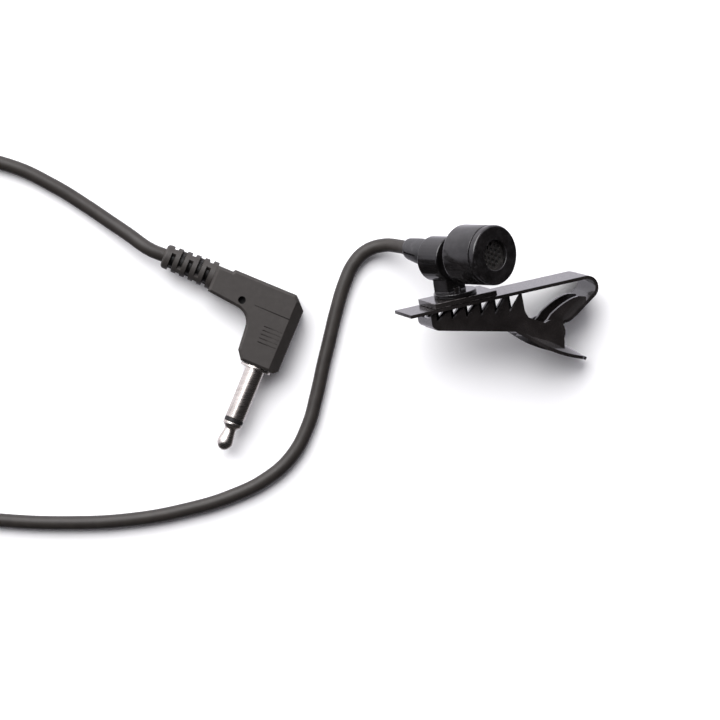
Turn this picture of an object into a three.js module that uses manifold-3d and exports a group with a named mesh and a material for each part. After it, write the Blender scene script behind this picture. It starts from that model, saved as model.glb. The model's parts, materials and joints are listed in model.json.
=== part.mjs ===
// Clip-on lavalier microphone, lying on a table with its cord and right-angle 3.5 mm plug.
// Millimetres, +Z up. The origin is on the table, under the middle of the microphone and clip.
import * as THREE from 'three';
import { mergeVertices } from 'three/addons/utils/BufferGeometryUtils.js';
import Module from 'manifold-3d';

const wasm = await Module();
wasm.setup();

// ---------- clearances ----------
const runningFit = 0.08;     // radial, between pieces that turn on each other
const pressFit = 0.03;       // between pieces that are fixed in one another
const seatGap = 0.04;        // between faces that rest on each other
const turnedGap = 0.15;      // between the jaw's teeth and the strip they close on
const cordGap = 0.3;         // between the faces of a cord and what it meets

// ---------- microphone head; x runs forward along its axis, from the swivel axis ----------
const faceX = 11.9;
const headRadius = 5.3;
const headLength = 8.2;
const headEdge = 0.45;
const capLength = 1.25;
const seamWidth = 0.25;
const spigotRadius = 4.5;
const spigotLength = 1.7;
const recessRadius = 2.65;
const recessDepth = 0.9;
const rearWall = 0.7;
const neckRadius = 1.85;
const neckLength = 9.2;

const grilleThickness = 0.3;
const grilleHoleRadius = 0.36;
const grillePitch = 1.0;
const grilleRings = 2;
const feltThickness = 0.4;

const capsuleRadius = 3.0;
const capsuleRoom = 0.6;     // radial, between the capsule and the cap's bore
const capsuleLength = 2.7;
const capsuleWall = 0.25;
const capsulePortRadius = 0.5;
const boardThickness = 0.5;
const membraneThickness = 0.2;
const backplateThickness = 0.5;
const backplateGap = 0.2;
const gasketLength = 1.5;
const padRadius = 0.45;
const padHeight = 0.25;
const padSpacing = 2.2;

// ---------- boot and cord ----------
const cordRadius = 1.25;
const bootLength = 5.9;
const bootFrontRadius = 2.45;
const bootRearRadius = 1.95;
const bootSlitWidth = 0.3;
const bootSlitLength = 3.2;
const bootBend = 0.7;         // how far the cord pulls the boot's free end up from the axis
const bootSlitDepth = 0.7;
const bootSlitTurn = 93;     // round the boot, degrees
const ferruleLength = 0.75;
const ferruleRadius = 1.95;
const wireRadius = 0.3;
const wireGap = 0.12;

// ---------- holder ----------
const ringRadius = 4.0;
const ringDrop = 0.9;        // ring's outside below the microphone axis, towards the clip
const ringLength = 5.2;
const ringCentreX = -1.8;
const axisHeight = 8.6;      // microphone axis above the top of the spring strip
const stemLength = 3.8;
const stemWidth = 4.4;
const footRadius = 3.85;
const footThickness = 0.8;
const rivetRadius = 0.95;
const rivetHeadRadius = 1.8;
const rivetHeadHeight = 0.45;
const rivetGrip = 1.5;       // how far the rivet reaches up into the stem

// ---------- clip arm; x runs along the strip to its bend, z up to the microphone ----------
const stripWidth = 7.8;
const stripThickness = 0.6;
const stripFrontX = -10.4;
const bendCentreX = 23.8;
const bendRadius = 1.9;      // at the middle of the sheet
const legAngle = 33;         // between the leg and the strip, degrees
const legLength = 8.2;       // from the bend to the end of the leg's sheet
const legShoulder = 6.9;     // from the bend to where the leg narrows to pass between the ears
const cheekWidth = 4.9;      // over the leg's two raised cheeks, which carry the jaw
const cheekSheet = 0.6;
const cheekRadius = 1.5;     // round the pivot
const cheekTop = [[0.8, 0.2], [2, 1.5], [3.6, 2.2], [5.8, 2.65], [7.9, 2.8]]; // along the leg, height
const pivotX = 16.4;
const pivotZ = -8.0;
const pivotBossRadius = 0.78;
const ventPlaces = [4.6, 6.3]; // small holes along the leg, from the bend
const ventRadius = 0.45;

const saddleFrontX = -5.7;
const saddleRearX = 6.4;
const saddleThickness = 1.0;

// ---------- lower jaw, in the clip arm's frame ----------
const jawWidth = 6.6;
const jawSheet = 0.6;
const jawFrontX = -6.5;
const jawFrontHeight = 3.7;  // from the strip's top to the jaw's underside at the front
const jawSlope = 12.8;         // of its underside, degrees
const jawCorner = 1.1;
const leverStartX = 9.1;
const leverSlope = 32;
const leverLength = 16.4;
const leverWidth = 9.4;
const leverTipWidth = 2.6;
const leverSwell = 1.12;      // of its width, just behind the channel
const leverDish = 1.9;       // how far the lever's edges curl away from its middle
const leverRise = 1.0;       // how far its middle bows towards the strip
const toothPitch = 2.79;
const toothCount = 7;
const lastToothX = 11.3;
const firstToothDepth = 1.5;
const lastToothDepth = 2.75;
const earCentre = [16.2, -9.0];
const earRadius = 2.45;
const earEnd = 1.764;         // where the ear's round meets the lever, in front of its centre
const throatDepth = 5.2;

// ---------- plug; x runs along its cable, -y along its shaft, origin where they cross ----------
const plugThickness = 6.6;
const plugEdge = 0.5;
const cableEndX = -13.2;
const cableTop = 2.5;
const neckTop = 2.05;
const cableBottom = -2.95;
const elbowBottom = -3.6;
const armLeft = -4.1;
const armRight = 4.05;
const armEnd = -12.2;
const collarInset = 1.2;
const cornerCut = 2.2;
const markRadius = 0.7;
const markCentre = [-6.85, -2.1];
const markDepth = 1.7;
const bandWidth = 1.7;        // sloped band along the housing's outer side, on both faces
const bandDrop = 1.6;

const reliefLength = 9.8;
const reliefFrontRadius = 2.6;
const reliefRearRadius = 2.2;
const reliefGrooveDepth = 0.75;
const reliefGrooves = 5;
const reliefGrooveShare = 0.42; // of the pitch
const reliefLands = 1.4;      // plain length, both ends together

const washerRadius = 2.8;
const washerThickness = 0.5;
const sleeveRadius = 1.75;
const sleeveLength = 9.6;
const sleeveTail = 3.4;
const sleeveBoreRadius = 0.98;
const insulatorRing = 0.7;
const rodRadius = 0.55;
const rodTail = 5.2;
const tipLength = 5.3;
const tipNeckRadius = 1.05;
const tipBallRadius = 1.45;
const bushingThickness = 0.9;
const bushingRadius = 1.5;
const lugThickness = 0.35;
const lugWidth = 1.5;
const lugReach = 8.2;
const lugRingRadius = 1.3;
const pocketRoom = 0.32;      // radial, between the sleeve's lug and the pocket round it
const pocketFloor = 1.6;      // housing left between the pocket and the washer
const cablePocketRadius = 1.9;
const cordInsidePlugX = -7.0;

// ---------- how the object lies ----------
const noseUp = 48.4;         // microphone axis above the table, degrees
const heading = -4;
const clipRoll = -72.8;      // clip turned round the microphone, degrees
const swivelAngle = 69.2;    // clip arm against the microphone axis, degrees
const plugTurn = -22.5;
const plugPlace = [-38.6, -1.85];

// ---------- cord and coil ----------
// From the boot over the table to the coil, then from the plug to the coil.
const cordLead = 2.8;        // straight part at each end
const micRoute = [
  [-20.3, 8.8, 2.6], [-23.4, 7.8, 1.5], [-25.6, 5.6, 1.25], [-27.3, 2, 1.25], [-28.8, -3, 1.25],
  [-30, -8, 1.25], [-31.2, -13, 1.25], [-32.3, -18, 1.25], [-34, -24, 1.25], [-37, -29.5, 1.25],
  [-41.5, -33.5, 1.25], [-48, -36.7, 1.25], [-56, -39.1, 1.25], [-66, -40.9, 1.25],
  [-78, -41.5, 1.25], [-90, -41, 1.25], [-100, -39.9, 1.25], [-108, -39, 1.25],
];
const plugRoute = [
  [-66.6, 10.9, 2.3], [-70, 13.2, 1.7], [-74, 15.9, 1.35], [-80, 19.6, 1.25], [-88, 23.3, 1.25],
  [-97, 24.9, 1.25], [-106.5, 23.4, 1.25], [-116, 18.8, 1.25], [-124.5, 11.5, 1.25],
  [-130, 2.3, 1.25], [-131.9, -6.5, 1.25], [-132, -13, 1.25],
];
const cordStep = 6;
const coilRadius = 14.2;     // at the middle of the turns
const coilCentre = [-111.7, -18.4];
const coilWidth = 10.2;
const coilHeight = 5.0;
const coilLift = 0.7;
const tieThickness = 0.4;
const tieWidth = 6;
const tieAngle = 90;         // where the tie sits round the coil, degrees

const deg = THREE.MathUtils.degToRad;

// ---------- shape helpers ----------
function toManifold(geometry) {
  const bare = geometry.clone();
  for (const name of Object.keys(bare.attributes)) {
    if (name !== 'position') bare.deleteAttribute(name);
  }
  const merged = mergeVertices(bare, 1e-5);
  const positions = Float32Array.from(merged.attributes.position.array);
  const triangles = Uint32Array.from(merged.index.array);
  return new wasm.Manifold(new wasm.Mesh({ numProp: 3, vertProperties: positions, triVerts: triangles }));
}

function fromManifold(solid) {
  const mesh = solid.getMesh();
  const geometry = new THREE.BufferGeometry();
  geometry.setAttribute('position', new THREE.BufferAttribute(Float32Array.from(mesh.vertProperties), 3));
  geometry.setIndex(new THREE.BufferAttribute(Uint32Array.from(mesh.triVerts), 1));
  return geometry;
}

function join(...geometries) {
  return fromManifold(geometries.map(toManifold).reduce((all, next) => all.add(next)));
}

function cut(geometry, ...cutters) {
  return fromManifold(cutters.map(toManifold).reduce((rest, next) => rest.subtract(next), toManifold(geometry)));
}

// A turned piece about the x axis; the profile is a list of [x, radius] pairs.
function turned(profile, sides = 36) {
  const points = profile.map(([x, radius]) => new THREE.Vector2(radius, x));
  const closed = profile[0][1] > 0 ? [...points, points[0].clone()] : points;
  const geometry = new THREE.LatheGeometry(closed, sides);
  geometry.rotateZ(-Math.PI / 2);
  return toOutward(geometry);
}

// Turns a closed geometry's faces outward.
function toOutward(geometry) {
  const position = geometry.attributes.position;
  const index = geometry.index;
  const a = new THREE.Vector3();
  const b = new THREE.Vector3();
  const c = new THREE.Vector3();
  let volume = 0;
  for (let i = 0; i < index.count; i += 3) {
    a.fromBufferAttribute(position, index.getX(i));
    b.fromBufferAttribute(position, index.getX(i + 1));
    c.fromBufferAttribute(position, index.getX(i + 2));
    volume += a.dot(b.cross(c));
  }
  if (volume < 0) {
    for (let i = 0; i < index.count; i += 3) {
      const first = index.getX(i);
      index.setX(i, index.getX(i + 2));
      index.setX(i + 2, first);
    }
  }
  return geometry;
}

function tubeProfile(fromX, toX, inner, outer) {
  return [[fromX, inner], [fromX, outer], [toX, outer], [toX, inner]];
}

function tube(fromX, toX, inner, outer, sides) {
  return turned(tubeProfile(fromX, toX, inner, outer), sides);
}

function rod(fromX, toX, radius, sides = 20) {
  return turned([[fromX, 0], [fromX, radius], [toX, radius], [toX, 0]], sides);
}

function post(x, y, fromZ, toZ, radius, sides = 24) {
  const geometry = new THREE.CylinderGeometry(radius, radius, toZ - fromZ, sides);
  geometry.rotateX(Math.PI / 2);
  geometry.translate(x, y, (fromZ + toZ) / 2);
  return geometry;
}

function box(fromX, toX, fromY, toY, fromZ, toZ) {
  const geometry = new THREE.BoxGeometry(toX - fromX, toY - fromY, toZ - fromZ);
  geometry.translate((fromX + toX) / 2, (fromY + toY) / 2, (fromZ + toZ) / 2);
  return geometry;
}

// A plate with its outline in the xz plane, centred on y.
function sidePlate(outline, width, centreY = 0) {
  const geometry = new THREE.ExtrudeGeometry(new THREE.Shape(outline), { depth: width, bevelEnabled: false });
  geometry.translate(0, 0, -width / 2 - centreY);
  geometry.rotateX(Math.PI / 2);
  return geometry;
}

function wire(points, radius, sides, steps) {
  const path = new THREE.CatmullRomCurve3(points.map((p) => new THREE.Vector3(...p)), false, 'centripetal');
  const section = new THREE.Shape();
  for (let i = 0; i < sides; i += 1) {
    const angle = (2 * Math.PI * i) / sides;
    const at = [radius * Math.cos(angle), radius * Math.sin(angle)];
    if (i === 0) section.moveTo(...at);
    else section.lineTo(...at);
  }
  section.closePath();
  return new THREE.ExtrudeGeometry(section, { steps, extrudePath: path, bevelEnabled: false });
}

function arcPoints(centre, radius, fromDegrees, toDegrees, steps) {
  const points = [];
  for (let i = 0; i <= steps; i += 1) {
    const angle = deg(fromDegrees + ((toDegrees - fromDegrees) * i) / steps);
    points.push(new THREE.Vector2(centre[0] + radius * Math.cos(angle), centre[1] + radius * Math.sin(angle)));
  }
  return points;
}

// ---------- materials ----------
const looks = {
  glossBlack: { color: 0x141214, roughness: 0.16, metalness: 0.3 },
  grille: { color: 0x55524f, roughness: 0.35, metalness: 0.8 },
  felt: { color: 0x0c0c0c, roughness: 0.95, metalness: 0 },
  can: { color: 0xb9bcbf, roughness: 0.3, metalness: 1 },
  film: { color: 0xd8d2bd, roughness: 0.2, metalness: 0.6 },
  brass: { color: 0xb08d4a, roughness: 0.3, metalness: 1 },
  board: { color: 0x1f5b3a, roughness: 0.5, metalness: 0 },
  solder: { color: 0xc9ccd0, roughness: 0.25, metalness: 1 },
  gasket: { color: 0x222222, roughness: 0.8, metalness: 0 },
  redWire: { color: 0xa02020, roughness: 0.5, metalness: 0 },
  bareWire: { color: 0xb87333, roughness: 0.35, metalness: 1 },
  ferrule: { color: 0xa8abae, roughness: 0.35, metalness: 1 },
  boot: { color: 0x1d1b1c, roughness: 0.3, metalness: 0 },
  clipBlack: { color: 0x2a2627, roughness: 0.25, metalness: 0.5 },
  rivet: { color: 0x6b6769, roughness: 0.3, metalness: 0.9 },
  cord: { color: 0x3a3534, roughness: 0.65, metalness: 0 },
  plug: { color: 0x3f3a3a, roughness: 0.6, metalness: 0 },
  nickel: { color: 0xc9c3bb, roughness: 0.2, metalness: 1 },
  insulator: { color: 0x111111, roughness: 0.5, metalness: 0 },
  tie: { color: 0x1b1b1d, roughness: 0.8, metalness: 0 },
};

function piece(name, geometry, look) {
  const mesh = new THREE.Mesh(geometry, new THREE.MeshStandardMaterial(looks[look]));
  mesh.name = name;
  return mesh;
}

// ---------- stations along the microphone ----------
const capBackX = faceX - capLength;
const capBoreRadius = capsuleRadius + capsuleRoom;
const barrelFrontX = capBackX - seamWidth;
const headBackX = faceX - headLength;
const neckEndX = headBackX - neckLength;
const spigotEndX = capBackX - spigotLength;
const grilleBackX = faceX - recessDepth - grilleThickness;
const capsuleFrontX = grilleBackX - feltThickness - 2 * seatGap;
const capsuleBackX = capsuleFrontX - capsuleLength;
const chamberEndX = headBackX + rearWall;
const bootFrontX = ringCentreX - ringLength / 2 - runningFit;
const bootRearX = bootFrontX - bootLength;
const ferruleBackX = chamberEndX + seatGap;
const ferruleFrontX = ferruleBackX + ferruleLength;
const cordBore = cordRadius + pressFit;
const padFrontX = capsuleBackX - padHeight;

function frontCap() {
  return turned([
    [faceX - headEdge, headRadius],
    [faceX - headEdge * 0.3, headRadius - headEdge * 0.3],
    [faceX, headRadius - headEdge],
    [faceX, recessRadius + 0.15],
    [faceX - 0.15, recessRadius],
    [faceX - recessDepth, recessRadius],
    [faceX - recessDepth, capBoreRadius],
    [spigotEndX, capBoreRadius],
    [spigotEndX, spigotRadius],
    [capBackX, spigotRadius],
    [capBackX, headRadius],
  ]);
}

function grilleDisc() {
  const outline = new THREE.Shape();
  outline.absarc(0, 0, capBoreRadius - pressFit, 0, 2 * Math.PI);
  for (let row = -grilleRings; row <= grilleRings; row += 1) {
    const inRow = 2 * grilleRings + 1 - Math.abs(row);
    for (let i = 0; i < inRow; i += 1) {
      const hole = new THREE.Path();
      const across = (i - (inRow - 1) / 2) * grillePitch;
      const down = row * grillePitch * Math.sin(Math.PI / 3);
      hole.absarc(across, down, grilleHoleRadius, 0, 2 * Math.PI, true);
      outline.holes.push(hole);
    }
  }
  const geometry = new THREE.ExtrudeGeometry(outline, {
    depth: grilleThickness - seatGap, bevelEnabled: false, curveSegments: 9,
  });
  geometry.rotateY(Math.PI / 2);
  geometry.translate(grilleBackX, 0, 0);
  return geometry;
}

function barrel() {
  const chamberRadius = spigotRadius + pressFit;
  return turned([
    [barrelFrontX, chamberRadius],
    [barrelFrontX, headRadius - 0.1],
    [barrelFrontX - 0.1, headRadius],
    [headBackX + headEdge, headRadius],
    [headBackX + headEdge * 0.3, headRadius - headEdge * 0.3],
    [headBackX, headRadius - headEdge],
    [headBackX, neckRadius],
    [neckEndX, neckRadius],
    [neckEndX, cordBore],
    [chamberEndX, cordBore],
    [chamberEndX, chamberRadius],
  ]);
}

function capsuleCan() {
  const inner = capsuleRadius - capsuleWall;
  return turned([
    [capsuleFrontX, capsulePortRadius],
    [capsuleFrontX, capsuleRadius],
    [capsuleBackX, capsuleRadius],
    [capsuleBackX, inner],
    [capsuleFrontX - capsuleWall, inner],
    [capsuleFrontX - capsuleWall, capsulePortRadius],
  ], 28);
}

const capsuleInside = capsuleRadius - capsuleWall - pressFit;
const membraneFrontX = capsuleFrontX - capsuleWall - seatGap;
const backplateFrontX = membraneFrontX - membraneThickness - backplateGap;
const boardFrontX = capsuleBackX + boardThickness;

function solderPads() {
  return [-1, 1].map((side) => {
    const geometry = rod(padFrontX, capsuleBackX - seatGap, padRadius, 12);
    geometry.translate(0, (side * padSpacing) / 2, 0);
    return geometry;
  });
}

// Beyond the neck's socket the boot and the cord in it lean up by bootBend at the boot's free end.
const socketEndX = neckEndX - seatGap;
const bootLean = bootBend / (socketEndX - bootRearX);

function lean(geometry) {
  const position = geometry.attributes.position;
  for (let i = 0; i < position.count; i += 1) {
    const beyond = Math.max(0, socketEndX - position.getX(i));
    position.setZ(i, position.getZ(i) + bootLean * beyond);
  }
  return geometry;
}

function cordBoot() {
  const socket = neckRadius + pressFit;
  const body = turned([
    [bootFrontX, socket],
    [bootFrontX, bootFrontRadius - 0.15],
    [bootFrontX - 0.15, bootFrontRadius],
    [socketEndX, bootFrontRadius],
    [bootFrontX - bootLength * 0.5, bootFrontRadius - 0.1],
    [bootRearX + 0.25, bootRearRadius],
    [bootRearX, bootRearRadius - 0.2],
    [bootRearX, cordBore],
    [socketEndX, cordBore],
    [socketEndX, socket],
  ], 32);
  const slitFromX = bootRearX + 0.6;
  const slit = box(slitFromX, slitFromX + bootSlitLength, -bootSlitWidth / 2, bootSlitWidth / 2,
    bootFrontRadius - bootSlitDepth, bootFrontRadius + 1);
  slit.rotateX(deg(bootSlitTurn));
  return lean(cut(body, slit));
}

function cordEnd() {
  return lean(turned([
    [bootRearX, 0], [bootRearX, cordRadius], [socketEndX, cordRadius], [ferruleFrontX, cordRadius], [ferruleFrontX, 0],
  ], 24));
}

function microphone() {
  const group = new THREE.Group();
  group.add(piece('front_cap', frontCap(), 'glossBlack'));
  group.add(piece('grille_disc', grilleDisc(), 'grille'));
  group.add(piece('dust_felt', rod(capsuleFrontX + seatGap, grilleBackX - seatGap, capBoreRadius - pressFit, 28), 'felt'));
  group.add(piece('barrel', barrel(), 'glossBlack'));
  group.add(piece('capsule_can', capsuleCan(), 'can'));
  group.add(piece('capsule_membrane',
    rod(membraneFrontX - membraneThickness, membraneFrontX, capsuleInside, 28), 'film'));
  group.add(piece('capsule_backplate',
    rod(backplateFrontX - backplateThickness, backplateFrontX, capsuleInside * 0.9, 28), 'brass'));
  group.add(piece('capsule_board', rod(capsuleBackX, boardFrontX, capsuleInside, 28), 'board'));
  const gasketFrontX = spigotEndX - seatGap;
  group.add(piece('capsule_gasket',
    tube(gasketFrontX - gasketLength, gasketFrontX, capsuleRadius + pressFit, spigotRadius, 28), 'gasket'));
  const [signalPad, shieldPad] = solderPads();
  group.add(piece('solder_signal', signalPad, 'solder'));
  group.add(piece('solder_shield', shieldPad, 'solder'));
  group.add(piece('cord_ferrule', tube(ferruleBackX, ferruleFrontX, cordBore, ferruleRadius, 24), 'ferrule'));
  group.add(piece('cord_boot', cordBoot(), 'boot'));
  group.add(piece('cord_end_mic', cordEnd(), 'cord'));
  const wireSpread = wireRadius + wireGap;
  const wirePath = (side) => [
    [ferruleFrontX + wireGap, side * wireSpread, 0],
    [ferruleFrontX + 2 * wireGap, side * wireSpread, 0],
    [padFrontX - 2 * wireGap, (side * padSpacing) / 2, 0],
    [padFrontX - wireGap, (side * padSpacing) / 2, 0],
  ];
  group.add(piece('wire_signal', wire(wirePath(-1), wireRadius, 8, 6), 'redWire'));
  group.add(piece('wire_shield', wire(wirePath(1), wireRadius, 8, 6), 'bareWire'));
  return group;
}

// ---------- holder: the ring round the neck, its stem and its round foot ----------
const ringBore = neckRadius + runningFit;
const footBottomZ = -axisHeight + saddleThickness + 2 * seatGap;

function holder() {
  const ringBackX = ringCentreX - ringLength / 2;
  const ringFrontX = ringCentreX + ringLength / 2;
  const edge = 0.15;
  const ring = turned([
    [ringBackX, 0],
    [ringBackX, ringRadius - edge],
    [ringBackX + edge, ringRadius],
    [ringFrontX - edge, ringRadius],
    [ringFrontX, ringRadius - edge],
    [ringFrontX, 0],
  ]);
  ring.translate(0, 0, -ringDrop);
  const stem = box(ringFrontX - stemLength, ringFrontX - edge, -stemWidth / 2, stemWidth / 2,
    footBottomZ + footThickness / 2, -ringDrop - ringRadius * 0.6);
  const foot = post(0, 0, footBottomZ, footBottomZ + footThickness, footRadius, 36);
  const neckBore = rod(ringBackX - 1, ringFrontX + 1, ringBore, 36);
  const rivetBore = post(0, 0, footBottomZ - 1, footBottomZ + rivetGrip, rivetRadius + pressFit, 20);
  return cut(join(ring, stem, foot), neckBore, rivetBore);
}

function swivelRivet() {
  const stripBottomZ = -axisHeight - stripThickness;
  const headTopZ = stripBottomZ - seatGap;
  const shank = post(0, 0, headTopZ - rivetHeadHeight / 2, footBottomZ + rivetGrip - seatGap, rivetRadius, 20);
  const head = post(0, 0, headTopZ - rivetHeadHeight, headTopZ, rivetHeadRadius, 24);
  return join(shank, head);
}

// ---------- clip arm ----------
const bendZ = -stripThickness / 2 - bendRadius;
const legStart = [
  bendCentreX + bendRadius * Math.sin(deg(legAngle)),
  bendZ - bendRadius * Math.cos(deg(legAngle)),
];
const legAlong = [-Math.cos(deg(legAngle)), -Math.sin(deg(legAngle))];
const legUp = [-Math.sin(deg(legAngle)), Math.cos(deg(legAngle))];
const pivot = [pivotX, pivotZ];

function saddle() {
  const plate = box(saddleFrontX, saddleRearX, -stripWidth / 2, stripWidth / 2,
    seatGap, saddleThickness + seatGap);
  return cut(plate, post(0, 0, -1, saddleThickness + 1, rivetRadius + runningFit, 20));
}

// A point beside the leg: its distance from the bend, and its height towards the strip.
function alongLeg(along, height) {
  return new THREE.Vector2(
    legStart[0] + legAlong[0] * along + legUp[0] * height,
    legStart[1] + legAlong[1] * along + legUp[1] * height,
  );
}

// Along the top, round the bend and down the leg.
function stripOutline() {
  const half = stripThickness / 2;
  const upper = [new THREE.Vector2(stripFrontX, 0)];
  const lower = [new THREE.Vector2(stripFrontX, -stripThickness)];
  upper.push(...arcPoints([bendCentreX, bendZ], bendRadius + half, 90, legAngle - 90, 12));
  lower.push(...arcPoints([bendCentreX, bendZ], bendRadius - half, 90, legAngle - 90, 12));
  upper.push(alongLeg(legLength, -half));
  lower.push(alongLeg(legLength, half));
  return [...upper, ...lower.reverse()];
}

// Puts a cutter drawn on the leg (x along the leg from the bend, y across) in the arm's frame.
function ontoLeg(geometry) {
  const basis = new THREE.Matrix4().makeBasis(
    new THREE.Vector3(legAlong[0], 0, legAlong[1]),
    new THREE.Vector3(0, 1, 0),
    new THREE.Vector3(-legUp[0], 0, -legUp[1]),
  );
  basis.setPosition(legStart[0], 0, legStart[1]);
  geometry.applyMatrix4(basis);
  return geometry;
}

function legShoulderCutter(side) {
  const edge = stripWidth / 2 + 1;
  const half = cheekWidth / 2;
  const end = legLength + 1;
  const outline = new THREE.Shape();
  outline.moveTo(legShoulder - 1.8, edge);
  outline.lineTo(legShoulder - 1.8, stripWidth / 2);
  outline.quadraticCurveTo(legShoulder, stripWidth / 2 - 0.2, legShoulder, half);
  outline.lineTo(end, half);
  outline.lineTo(end, edge);
  const depth = 4 * stripThickness;
  const geometry = new THREE.ExtrudeGeometry(outline, { depth, bevelEnabled: false, curveSegments: 6 });
  geometry.translate(0, 0, -depth / 2);
  if (side < 0) geometry.rotateX(Math.PI);
  return ontoLeg(geometry);
}

// A cheek stands on the leg's edge, from the bend to round the pivot.
function cheekOutline() {
  const top = new THREE.CatmullRomCurve3(cheekTop.map(([along, height]) => new THREE.Vector3(along, height, 0)));
  const points = top.getPoints(8).map((p) => alongLeg(p.x, p.y));
  const leave = -legAngle - 60;
  points.push(...arcPoints(pivot, cheekRadius, 110, 360 + leave, 10));
  points.push(alongLeg(legLength, -stripThickness / 2));
  points.push(alongLeg(cheekTop[0][0], -stripThickness / 2));
  return points;
}

function springStrip() {
  const parts = [sidePlate(stripOutline(), stripWidth)];
  for (const side of [-1, 1]) {
    parts.push(sidePlate(cheekOutline(), cheekSheet, (side * (cheekWidth - cheekSheet)) / 2));
  }
  const pivotHole = sidePlate(arcPoints(pivot, pivotBossRadius + runningFit, 0, 345, 23), cheekWidth + 1);
  const cutters = [legShoulderCutter(1), legShoulderCutter(-1), pivotHole];
  cutters.push(post(0, 0, -stripThickness - 1, 1, rivetRadius + runningFit, 20));
  for (const along of ventPlaces) {
    cutters.push(ontoLeg(post(along, 0, -1, 1, ventRadius, 12)));
  }
  return cut(join(...parts), ...cutters);
}

// ---------- lower jaw ----------
const jawTan = Math.tan(deg(jawSlope));
const leverStartZ = -jawFrontHeight - (leverStartX - jawFrontX) * jawTan;

function jawUnderside(x) {
  return -jawFrontHeight - (x - jawFrontX) * jawTan;
}

function leverUnderside(x) {
  return leverStartZ - (x - leverStartX) * Math.tan(deg(leverSlope));
}

function wallOutline() {
  const tipZ = -stripThickness - turnedGap;
  const points = [new THREE.Vector2(jawFrontX, tipZ - 0.4)];
  points.push(...arcPoints([jawFrontX + jawCorner, jawUnderside(jawFrontX) + jawCorner],
    jawCorner, 180, 270 - jawSlope, 4));
  points.push(new THREE.Vector2(leverStartX, leverStartZ));
  const earEndX = earCentre[0] + earEnd;
  points.push(new THREE.Vector2(earEndX, leverUnderside(earEndX)));
  points.push(...arcPoints(earCentre, earRadius, -35, 120, 9));
  points.push(new THREE.Vector2(lastToothX + 1.6, -throatDepth - 0.55));
  points.push(new THREE.Vector2(lastToothX + 0.65, -throatDepth));
  points.push(new THREE.Vector2(lastToothX + 0.1, -throatDepth + 1.3));
  for (let i = 0; i < toothCount; i += 1) {
    const apexX = lastToothX - i * toothPitch;
    const depth = lastToothDepth - ((lastToothDepth - firstToothDepth) * i) / (toothCount - 1);
    points.push(new THREE.Vector2(apexX, tipZ));
    points.push(new THREE.Vector2(apexX - 0.35, tipZ));
    if (i < toothCount - 1) points.push(new THREE.Vector2(apexX - toothPitch + 0.02, tipZ - depth));
  }
  return points.reverse();
}

// The thumb lever: a leaf that widens from the channel, curls away at its edges and ends round.
function leverPlate() {
  const start = -0.4;
  const geometry = new THREE.BoxGeometry(leverLength - start, 2, jawSheet, 14, 6, 1);
  const position = geometry.attributes.position;
  const widths = new THREE.SplineCurve([
    [0, jawWidth], [0.2, jawWidth * leverSwell], [0.45, leverWidth], [0.7, leverWidth * 0.86],
    [0.9, leverWidth * 0.52], [1, leverTipWidth],
  ].map(([x, y]) => new THREE.Vector2(x, y)));
  for (let i = 0; i < position.count; i += 1) {
    const share = (position.getX(i) / (leverLength - start)) + 0.5;
    const across = position.getY(i);
    const { x, y: width } = widths.getPoint(share);
    const round = Math.sqrt(Math.max(0, 1 - across ** 2));
    const tip = share > 0.8 ? (round - 1) * leverTipWidth * 0.45 * (share - 0.8) * 5 : 0;
    position.setX(i, start + x * (leverLength - start) + tip);
    position.setY(i, (across * width) / 2);
    const bow = Math.sin(Math.PI * Math.min(1, x * 1.05)) ** 1.2;
    position.setZ(i, position.getZ(i) + jawSheet / 2 + bow * (leverRise - leverDish * across ** 2));
  }
  geometry.rotateY(deg(leverSlope));
  geometry.translate(leverStartX, 0, leverStartZ);
  return geometry;
}

function floorPlate() {
  const lift = jawSheet / Math.cos(deg(jawSlope));
  const from = jawFrontX + jawCorner;
  return sidePlate([
    new THREE.Vector2(from, jawUnderside(from)),
    new THREE.Vector2(leverStartX, leverStartZ),
    new THREE.Vector2(leverStartX, leverStartZ + lift),
    new THREE.Vector2(from, jawUnderside(from) + lift),
  ], jawWidth - jawSheet);
}

// The front wall follows the walls' rounded corner.
function frontWall() {
  const centre = [jawFrontX + jawCorner, jawUnderside(jawFrontX) + jawCorner];
  const outer = arcPoints(centre, jawCorner, 180, 270 - jawSlope, 4);
  const inner = arcPoints(centre, jawCorner - jawSheet, 180, 270 - jawSlope, 4);
  const topZ = -stripThickness - turnedGap - 0.9;
  return sidePlate([
    new THREE.Vector2(jawFrontX, topZ),
    ...outer,
    new THREE.Vector2(centre[0] + 0.3, jawUnderside(centre[0] + 0.3)),
    new THREE.Vector2(centre[0] + 0.3, jawUnderside(centre[0] + 0.3) + jawSheet),
    ...inner.reverse(),
    new THREE.Vector2(jawFrontX + jawSheet, topZ),
  ], jawWidth - jawSheet);
}

function lowerJaw() {
  const parts = [floorPlate(), frontWall(), leverPlate()];
  for (const side of [-1, 1]) {
    const wallMiddle = (side * (jawWidth - jawSheet)) / 2;
    parts.push(sidePlate(wallOutline(), jawSheet, wallMiddle));
    const bossFrom = cheekWidth / 2 - cheekSheet;
    const bossTo = jawWidth / 2 - jawSheet / 2;
    const boss = arcPoints(pivot, pivotBossRadius, 0, 345, 23);
    parts.push(sidePlate(boss, bossTo - bossFrom, (side * (bossTo + bossFrom)) / 2));
  }
  return join(...parts);
}

// ---------- plug ----------
function ontoShaft(geometry) {
  geometry.rotateZ(-Math.PI / 2);
  return geometry;
}

const washerFaceY = armEnd - washerThickness - 2 * seatGap;
const shaft = -washerFaceY;  // distance from the crossing to the washer's outer face
const pocketEnd = shaft - washerThickness - pocketFloor;
const pocketRadius = sleeveRadius + pressFit + lugThickness + pocketRoom;

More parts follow.
